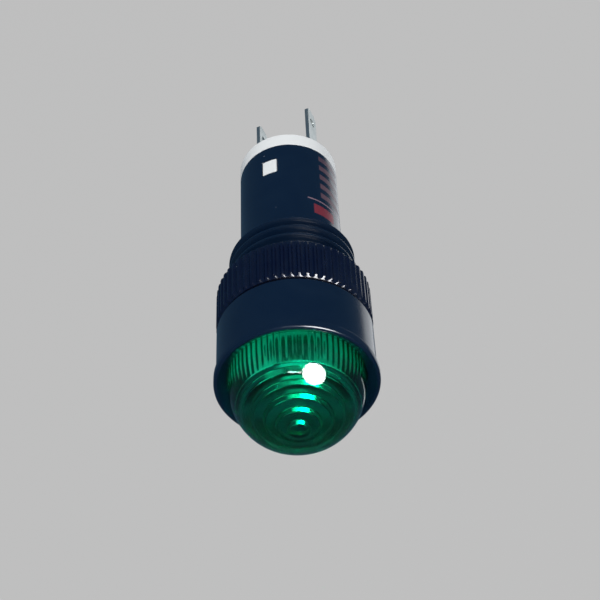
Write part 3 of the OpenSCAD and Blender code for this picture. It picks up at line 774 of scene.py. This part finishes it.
dish = {"hole": 2.55, "flat": 3.2, "rim": 0.65, "floor": 1.1, "holeStart": 0.5, "holeRound": 0.1,
        "footRound": 0.15, "rimRound": 0.12, "coneRound": 0.15, "floorRound": 0.5, "lipRound": 0.12}


def buildDish():
    # the reflector: a cone with a flat floor, turned up to a rim
    front, rear, outer = nodeStations("reflector")
    floor, hole = rear + dish["floor"], dish["hole"]
    start = floor - dish["holeStart"]
    profile = roundedProfile([
        (start, hole, 0), (rear, hole, dish["holeRound"]), (rear, outer, dish["footRound"]),
        (front, outer, dish["rimRound"]), (front, outer - dish["rim"], dish["coneRound"]),
        (floor, dish["flat"], dish["floorRound"]), (floor, hole, dish["lipRound"]), (start, hole, 0)])
    return turnedPiece("reflectorDish", profile, finishes["whitePlastic"], "reflector")


buildDish()

softEdges = {"base": 0.12, "blade": 0.07, "segments": 3, "sharpAngle": 35, "flatAngle": 1.0,
             "merge": 0.0005}


def softenedCopy(name, node, width, material):
    # the node's own solid with its triangles merged into whole faces and every sharp edge rounded
    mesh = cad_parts[node].data.copy()
    mesh.name = name
    shell = bmesh.new()
    shell.from_mesh(mesh)
    bmesh.ops.remove_doubles(shell, verts=shell.verts, dist=softEdges["merge"] * mm)
    bmesh.ops.dissolve_limit(shell, angle_limit=math.radians(softEdges["flatAngle"]), verts=shell.verts,
                             edges=shell.edges)
    bmesh.ops.recalc_face_normals(shell, faces=shell.faces)
    shell.to_mesh(mesh)
    shell.free()
    mesh.shade_smooth()
    mesh.set_sharp_from_angle(angle=math.radians(softEdges["sharpAngle"]))
    mesh.materials.clear()
    mesh.materials.append(material)
    piece = newObject(name, mesh)
    bevel = piece.modifiers.new("Bevel", "BEVEL")
    bevel.width = width * mm
    bevel.segments = softEdges["segments"]
    bevel.limit_method = "ANGLE"
    bevel.angle_limit = math.radians(softEdges["sharpAngle"])
    bevel.harden_normals = True
    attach(piece, "lamp")
    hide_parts(node)
    print(f"{name}: {len(mesh.polygons)} faces before its bevel")
    return piece


softenedCopy("basePlug", "terminal_base", softEdges["base"], finishes["basePlastic"])
softenedCopy("bladeLeft", "terminal_left", softEdges["blade"], finishes["tinnedMetal"])
softenedCopy("bladeRight", "terminal_right", softEdges["blade"], finishes["tinnedMetal"])

# the CAD solids that keep their shape, and the finish of each
nodeFinish = {
    "led": "ledClear", "led_anode_lead": "tinnedMetal", "led_cathode_lead": "tinnedMetal",
    "circuit_board": "boardGreen", "resistor_a": "resistorBlue", "resistor_b": "resistorBlue",
    "rectifier": "chipBlack", "capacitor": "capacitorTan", "surge_diode": "chipBlack",
    "board_solder": "solder",
}
for node, finishName in nodeFinish.items():
    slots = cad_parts[node].data.materials
    slots.clear()
    slots.append(finishes[finishName])
print("inner pieces painted:", len(nodeFinish))

# places and sizes from here on are metres, and the camera's lens and sensor millimetres
studio = {
    "floorDrop": 0.15, "floorHalf": 3.0, "floorColour": (0.54, 0.54, 0.54, 1.0), "floorRoughness": 0.9,
    "backgroundColour": (0.524, 0.524, 0.524, 1.0), "backgroundShare": 0.96,
    "worldColour": (0.93, 0.97, 1.0, 1.0), "worldStrength": 0.55,
    "glossyColour": (0.30, 0.62, 1.0, 1.0), "glossyStrength": 0.13,
}
lamps = {
    # name: direction, distance, size, radiance, direction of its width, shape, whether it is a card
    "softTop": ((0.35, -0.25, 0.9), 0.6, (0.6, 0.6), 1.85, (1, 0, 0), "RECTANGLE", False),
    "softFront": ((0.1, -0.9, 0.35), 0.7, (0.5, 0.5), 0.9, (1, 0, 0), "RECTANGLE", False),
    "roundCard": ((0.724, -0.383, 0.573), 0.25, (0.172, 0.172), 30.0, (1, 0, 0), "ELLIPSE", True),
    "tubeCard": ((0.285, -0.396, 0.873), 0.25, (0.090, 0.013), 18.0, (0.330, -0.042, -0.127),
                 "RECTANGLE", True),
    "rearCard": ((0.256, 0.72, -0.646), 0.14, (0.07, 0.10), 0.9, (0.9, 0.0, 0.35), "RECTANGLE", True),
}
cameraView = {
    "azimuth": 19.58, "elevation": 40.22, "roll": -31.6, "distance": 0.1722, "lens": 82.94,
    "aim": (0.000494, 0.006638, -0.0009), "sensor": 36.0, "clipStart": 0.005,
}


def glossyTone(tree, kind):
    # the dim blue tone that gloss sees in place of floor and world, as an emission or a background
    return addNode(tree, kind, {"Color": studio["glossyColour"], "Strength": studio["glossyStrength"]})


def buildFloor():
    # A flat square. The camera sees mostly an even tone, rough surfaces see the lit floor, and gloss
    # sees the dim tone.
    size, drop = studio["floorHalf"], studio["floorDrop"]
    mesh = bpy.data.meshes.new("studioFloor")
    corners = [(-size, -size, -drop), (size, -size, -drop), (size, size, -drop), (-size, size, -drop)]
    mesh.from_pydata(corners, [], [(0, 1, 2, 3)])
    material = bpy.data.materials.new("studioFloor")
    material.use_nodes = True
    tree = material.node_tree
    shader = tree.nodes["Principled BSDF"]
    shader.inputs["Base Color"].default_value = studio["floorColour"]
    shader.inputs["Roughness"].default_value = studio["floorRoughness"]
    glow = addNode(tree, "ShaderNodeEmission", {"Color": studio["backgroundColour"]})
    path = addNode(tree, "ShaderNodeLightPath")
    seen = math2(tree, "MAXIMUM", path.outputs["Is Camera Ray"], path.outputs["Is Transmission Ray"])
    share = math2(tree, "MULTIPLY", seen, studio["backgroundShare"])
    mix = addNode(tree, "ShaderNodeMixShader", {0: share, 1: shader.outputs[0], 2: glow.outputs[0]})
    dim = glossyTone(tree, "ShaderNodeEmission")
    gloss = addNode(tree, "ShaderNodeMixShader", {0: path.outputs["Is Glossy Ray"], 1: mix.outputs[0],
                                                  2: dim.outputs[0]})
    tree.links.new(gloss.outputs[0], tree.nodes["Material Output"].inputs["Surface"])
    mesh.materials.append(material)
    floor = newObject("studioFloor", mesh)


def buildWorld():
    # an even pale light, and the dim tone in its place for gloss
    world = bpy.data.worlds.new("studioWorld")
    bpy.context.scene.world = world
    world.use_nodes = True
    tree = world.node_tree
    light = tree.nodes["Background"]
    light.inputs["Color"].default_value = studio["worldColour"]
    light.inputs["Strength"].default_value = studio["worldStrength"]
    path = addNode(tree, "ShaderNodeLightPath")
    dim = glossyTone(tree, "ShaderNodeBackground")
    mix = addNode(tree, "ShaderNodeMixShader", {0: path.outputs["Is Glossy Ray"], 1: light.outputs[0],
                                                2: dim.outputs[0]})
    tree.links.new(mix.outputs[0], tree.nodes["World Output"].inputs["Surface"])


def standAt(thing, sideways, upwards, backwards, place):
    # the object's x, y and z axes along three directions, and its origin at a place
    matrix = np.eye(4)
    matrix[:3] = np.stack([sideways, upwards, backwards, place], axis=1)
    thing.matrix_world = mathutils.Matrix(matrix.tolist())


def addLamp(name, direction, distance, size, radiance, across, shape, card):
    # An area lamp that faces the part from a direction, as bright as a surface of the given radiance:
    # its power is radiance times pi times its area. A card shows only in gloss and glass, and the other
    # lamps only light what is rough.
    toward = np.array(direction, float)
    toward /= np.linalg.norm(toward)
    sideways = np.array(across, float)
    sideways -= (sideways @ toward) * toward
    sideways /= np.linalg.norm(sideways)
    light = bpy.data.lights.new(name, "AREA")
    light.shape = shape
    light.size, light.size_y = size
    area = size[0] * size[1] * (math.pi / 4 if shape == "ELLIPSE" else 1)
    light.energy = radiance * math.pi * area
    lamp = newObject(name, light)
    standAt(lamp, sideways, np.cross(toward, sideways), toward, toward * distance)
    lamp.visible_diffuse = not card
    lamp.visible_glossy = card


def buildCamera():
    # The camera looks back at its aim from an azimuth and an elevation, at a distance, and is then
    # rolled about its own line of sight.
    azimuth, elevation = math.radians(cameraView["azimuth"]), math.radians(cameraView["elevation"])
    back = np.array([math.sin(azimuth) * math.cos(elevation), -math.cos(azimuth) * math.cos(elevation),
                     math.sin(elevation)])
    right = np.array([math.cos(azimuth), math.sin(azimuth), 0.0])
    up = np.cross(back, right)
    roll = math.radians(cameraView["roll"])
    turnedRight = right * math.cos(roll) + up * math.sin(roll)
    turnedUp = up * math.cos(roll) - right * math.sin(roll)
    camera = bpy.data.cameras.new("studioCamera")
    camera.lens = cameraView["lens"]
    camera.sensor_width = cameraView["sensor"]
    camera.clip_start = cameraView["clipStart"]
    stand = newObject("studioCamera", camera)
    standAt(stand, turnedRight, turnedUp, back,
            np.array(cameraView["aim"]) + back * cameraView["distance"])
    bpy.context.scene.camera = stand


buildFloor()
buildWorld()
for name, values in lamps.items():
    addLamp(name, *values)
buildCamera()
bpy.context.scene.view_settings.view_transform = "Standard"
print("studio ready")
